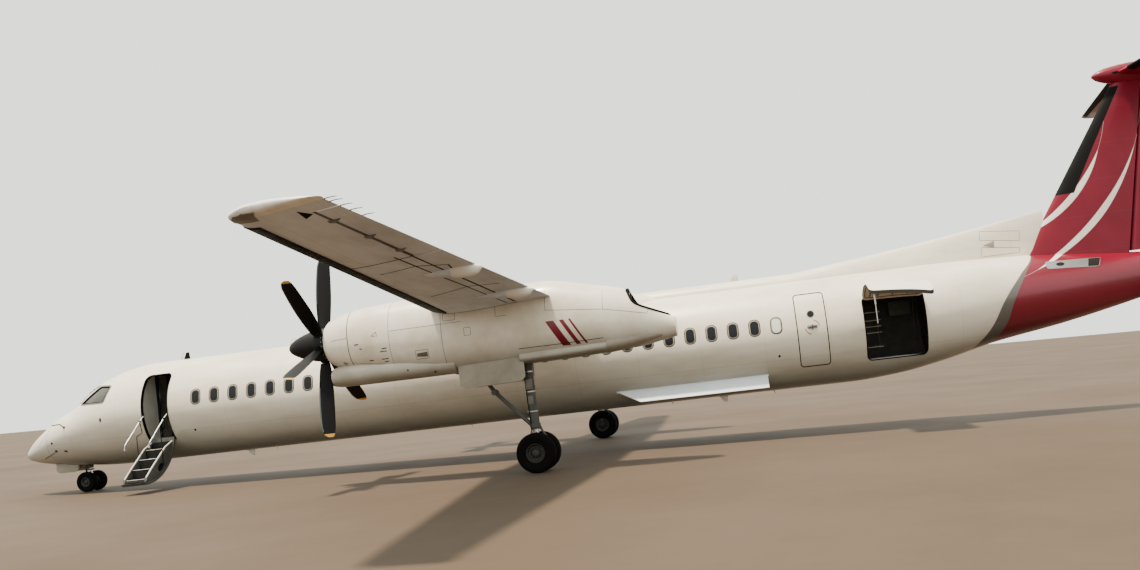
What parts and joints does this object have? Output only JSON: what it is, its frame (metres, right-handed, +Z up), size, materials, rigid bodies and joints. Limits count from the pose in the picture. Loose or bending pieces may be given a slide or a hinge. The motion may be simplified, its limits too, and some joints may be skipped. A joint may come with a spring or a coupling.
{
  "type": "twin turboprop airliner",
  "caption": "High-wing twin turboprop airliner with a T-tail, parked on its gear with its airstair down and its rear baggage door open.",
  "frame": {"origin": "bottom centre of the bounding box, on the ground under the middle of the aircraft", "axes": "+X to the port side, +Y aft, +Z up; the fuselage stands about 1.5 degrees nose down"},
  "size_m": [28.424, 32.6555, 8.3909],
  "materials": {
    "fuselage_paint": "gloss",
    "tail_paint": "gloss",
    "wing_paint": "satin",
    "blade_coating": "satin",
    "gear_metal": "satin",
    "engine_block": "matte",
    "tyre_rubber": "matte",
    "cockpit_glass": "gloss",
    "cabin_lining": "matte",
    "window_glass": "gloss",
    "seal_rubber": "matte",
    "bare_metal": "satin",
    "lamp_glass": "gloss"
  },
  "bodies": {
    "airframe": {"nose_section": "fuselage_paint", "entry_section": "fuselage_paint", "front_cabin_section": "fuselage_paint", "centre_section": "fuselage_paint", "rear_cabin_section": "fuselage_paint", "aft_section": "fuselage_paint", "rear_passenger_door": "fuselage_paint", "rear_service_door": "fuselage_paint", "wing_fairing": "fuselage_paint", "dorsal_ridge": "fuselage_paint", "nacelle_port": "fuselage_paint", "nacelle_starboard": "fuselage_paint", "gear_door_outer_port": "fuselage_paint", "gear_door_outer_starboard": "fuselage_paint", "gear_door_inner_port": "fuselage_paint", "gear_door_inner_starboard": "fuselage_paint", "nose_gear_door_port": "fuselage_paint", "nose_gear_door_starboard": "fuselage_paint", "tail_cone": "tail_paint", "fin": "tail_paint", "tailplane": "tail_paint", "wing_centre": "wing_paint", "wing_port": "wing_paint", "wing_starboard": "wing_paint", "inner_flap_port": "wing_paint", "inner_flap_starboard": "wing_paint", "outer_flap_port": "wing_paint", "outer_flap_starboard": "wing_paint", "main_leg_port": "gear_metal", "main_leg_starboard": "gear_metal", "nose_leg": "gear_metal", "engine_port": "engine_block", "engine_starboard": "engine_block", "cockpit_glazing": "cockpit_glass", "flight_deck": "cabin_lining"},
    "airstair": {"airstair_door": "fuselage_paint"},
    "airstair_handrails": {"airstair_rails": "fuselage_paint"},
    "baggage_door_body": {"baggage_door": "fuselage_paint"},
    "aileron_body_port": {"aileron_port": "wing_paint"},
    "aileron_body_starboard": {"aileron_starboard": "wing_paint"},
    "rudder_fore_body": {"rudder_fore": "tail_paint"},
    "rudder_aft_body": {"rudder_aft": "tail_paint"},
    "elevator_body_port": {"elevator_port": "wing_paint"},
    "elevator_body_starboard": {"elevator_starboard": "wing_paint"},
    "nose_steering": {"nose_fork": "gear_metal"},
    "nose_wheel_pair": {"nose_wheels": "gear_metal", "nose_tyre_port": "tyre_rubber", "nose_tyre_starboard": "tyre_rubber"},
    "propeller_body_port": {"propeller_port": "blade_coating", "spinner_port": "blade_coating"},
    "propeller_body_starboard": {"propeller_starboard": "blade_coating", "spinner_starboard": "blade_coating"},
    "main_wheel_pair_port": {"main_wheels_port": "gear_metal", "main_tyre_outer_port": "tyre_rubber", "main_tyre_inner_port": "tyre_rubber"},
    "main_wheel_pair_starboard": {"main_wheels_starboard": "gear_metal", "main_tyre_outer_starboard": "tyre_rubber", "main_tyre_inner_starboard": "tyre_rubber"}
  },
  "joints": [
    {"name": "airstair_hinge", "type": "hinge", "parent": "airframe", "child": "airstair", "pos_m": [1.096, -11.4448, 1.28808], "axis": [0, -0.9997, -0.0264], "range_deg": [0, 132]},
    {"name": "handrail_fold", "type": "hinge", "parent": "airstair", "child": "airstair_handrails", "pos_m": [1.67, -11.42858, 0.6733], "axis": [0, -0.9997, -0.0264], "range_deg": [-24, 0]},
    {"name": "baggage_door_hinge", "type": "hinge", "parent": "airframe", "child": "baggage_door_body", "pos_m": [1.183, 7.62558, 3.23163], "axis": [0, 0.9997, 0.0264], "range_deg": [0, 98]},
    {"name": "nose_steer", "type": "hinge", "parent": "airframe", "child": "nose_steering", "pos_m": [0, -14.44998, 0.64862], "axis": [0, -0.0264, 0.9997], "range_deg": [-70, 70]},
    {"name": "nose_wheel_spin", "type": "hinge", "parent": "nose_steering", "child": "nose_wheel_pair", "pos_m": [0, -14.44021, 0.27824], "axis": [1, 0, 0], "continuous": true},
    {"name": "main_wheel_spin_port", "type": "hinge", "parent": "airframe", "child": "main_wheel_pair_port", "pos_m": [4.395, -0.5033, 0.4273], "axis": [1, 0, 0], "continuous": true},
    {"name": "propeller_spin_port", "type": "hinge", "parent": "airframe", "child": "propeller_body_port", "pos_m": [4.395, -5.1371, 3.16506], "axis": [0, 0.9997, 0.0264], "continuous": true},
    {"name": "aileron_hinge_port", "type": "hinge", "parent": "airframe", "child": "aileron_body_port", "pos_m": [10.68, -0.59873, 4.04831], "axis": [0.9983, -0.0251, 0.0533], "range_deg": [-18, 18]},
    {"name": "elevator_hinge_port", "type": "hinge", "parent": "airframe", "child": "elevator_body_port", "pos_m": [0.29, 15.02961, 8.14982], "axis": [0.9993, 0.0382, 0.0053], "range_deg": [-15, 25]},
    {"name": "main_wheel_spin_starboard", "type": "hinge", "parent": "airframe", "child": "main_wheel_pair_starboard", "pos_m": [-4.395, -0.5033, 0.4273], "axis": [1, 0, 0], "continuous": true},
    {"name": "propeller_spin_starboard", "type": "hinge", "parent": "airframe", "child": "propeller_body_starboard", "pos_m": [-4.395, -5.1371, 3.16506], "axis": [0, 0.9997, 0.0264], "continuous": true},
    {"name": "aileron_hinge_starboard", "type": "hinge", "parent": "airframe", "child": "aileron_body_starboard", "pos_m": [-13.64, -0.67311, 4.20649], "axis": [0.9983, 0.0251, -0.0533], "range_deg": [-18, 18]},
    {"name": "elevator_hinge_starboard", "type": "hinge", "parent": "airframe", "child": "elevator_body_starboard", "pos_m": [-4.6, 15.19458, 8.17278], "axis": [0.9993, -0.0382, -0.0053], "range_deg": [-15, 25]},
    {"name": "rudder_fore_hinge", "type": "hinge", "parent": "airframe", "child": "rudder_fore_body", "pos_m": [0, 13.61282, 3.7947], "axis": [0, 0.1533, 0.9882], "range_deg": [-18, 18]},
    {"name": "rudder_aft_hinge", "type": "hinge", "parent": "rudder_fore_body", "child": "rudder_aft_body", "pos_m": [0, 14.55249, 3.81948], "axis": [0, 0.1142, 0.9935], "range_deg": [-18, 18]}
  ],
  "couplings": [
    {"joint": "handrail_fold", "follows": "airstair_hinge", "ratio": -0.18182},
    {"joint": "rudder_aft_hinge", "follows": "rudder_fore_hinge", "ratio": 1},
    {"joint": "elevator_hinge_starboard", "follows": "elevator_hinge_port", "ratio": 1},
    {"joint": "aileron_hinge_starboard", "follows": "aileron_hinge_port", "ratio": -1}
  ]
}
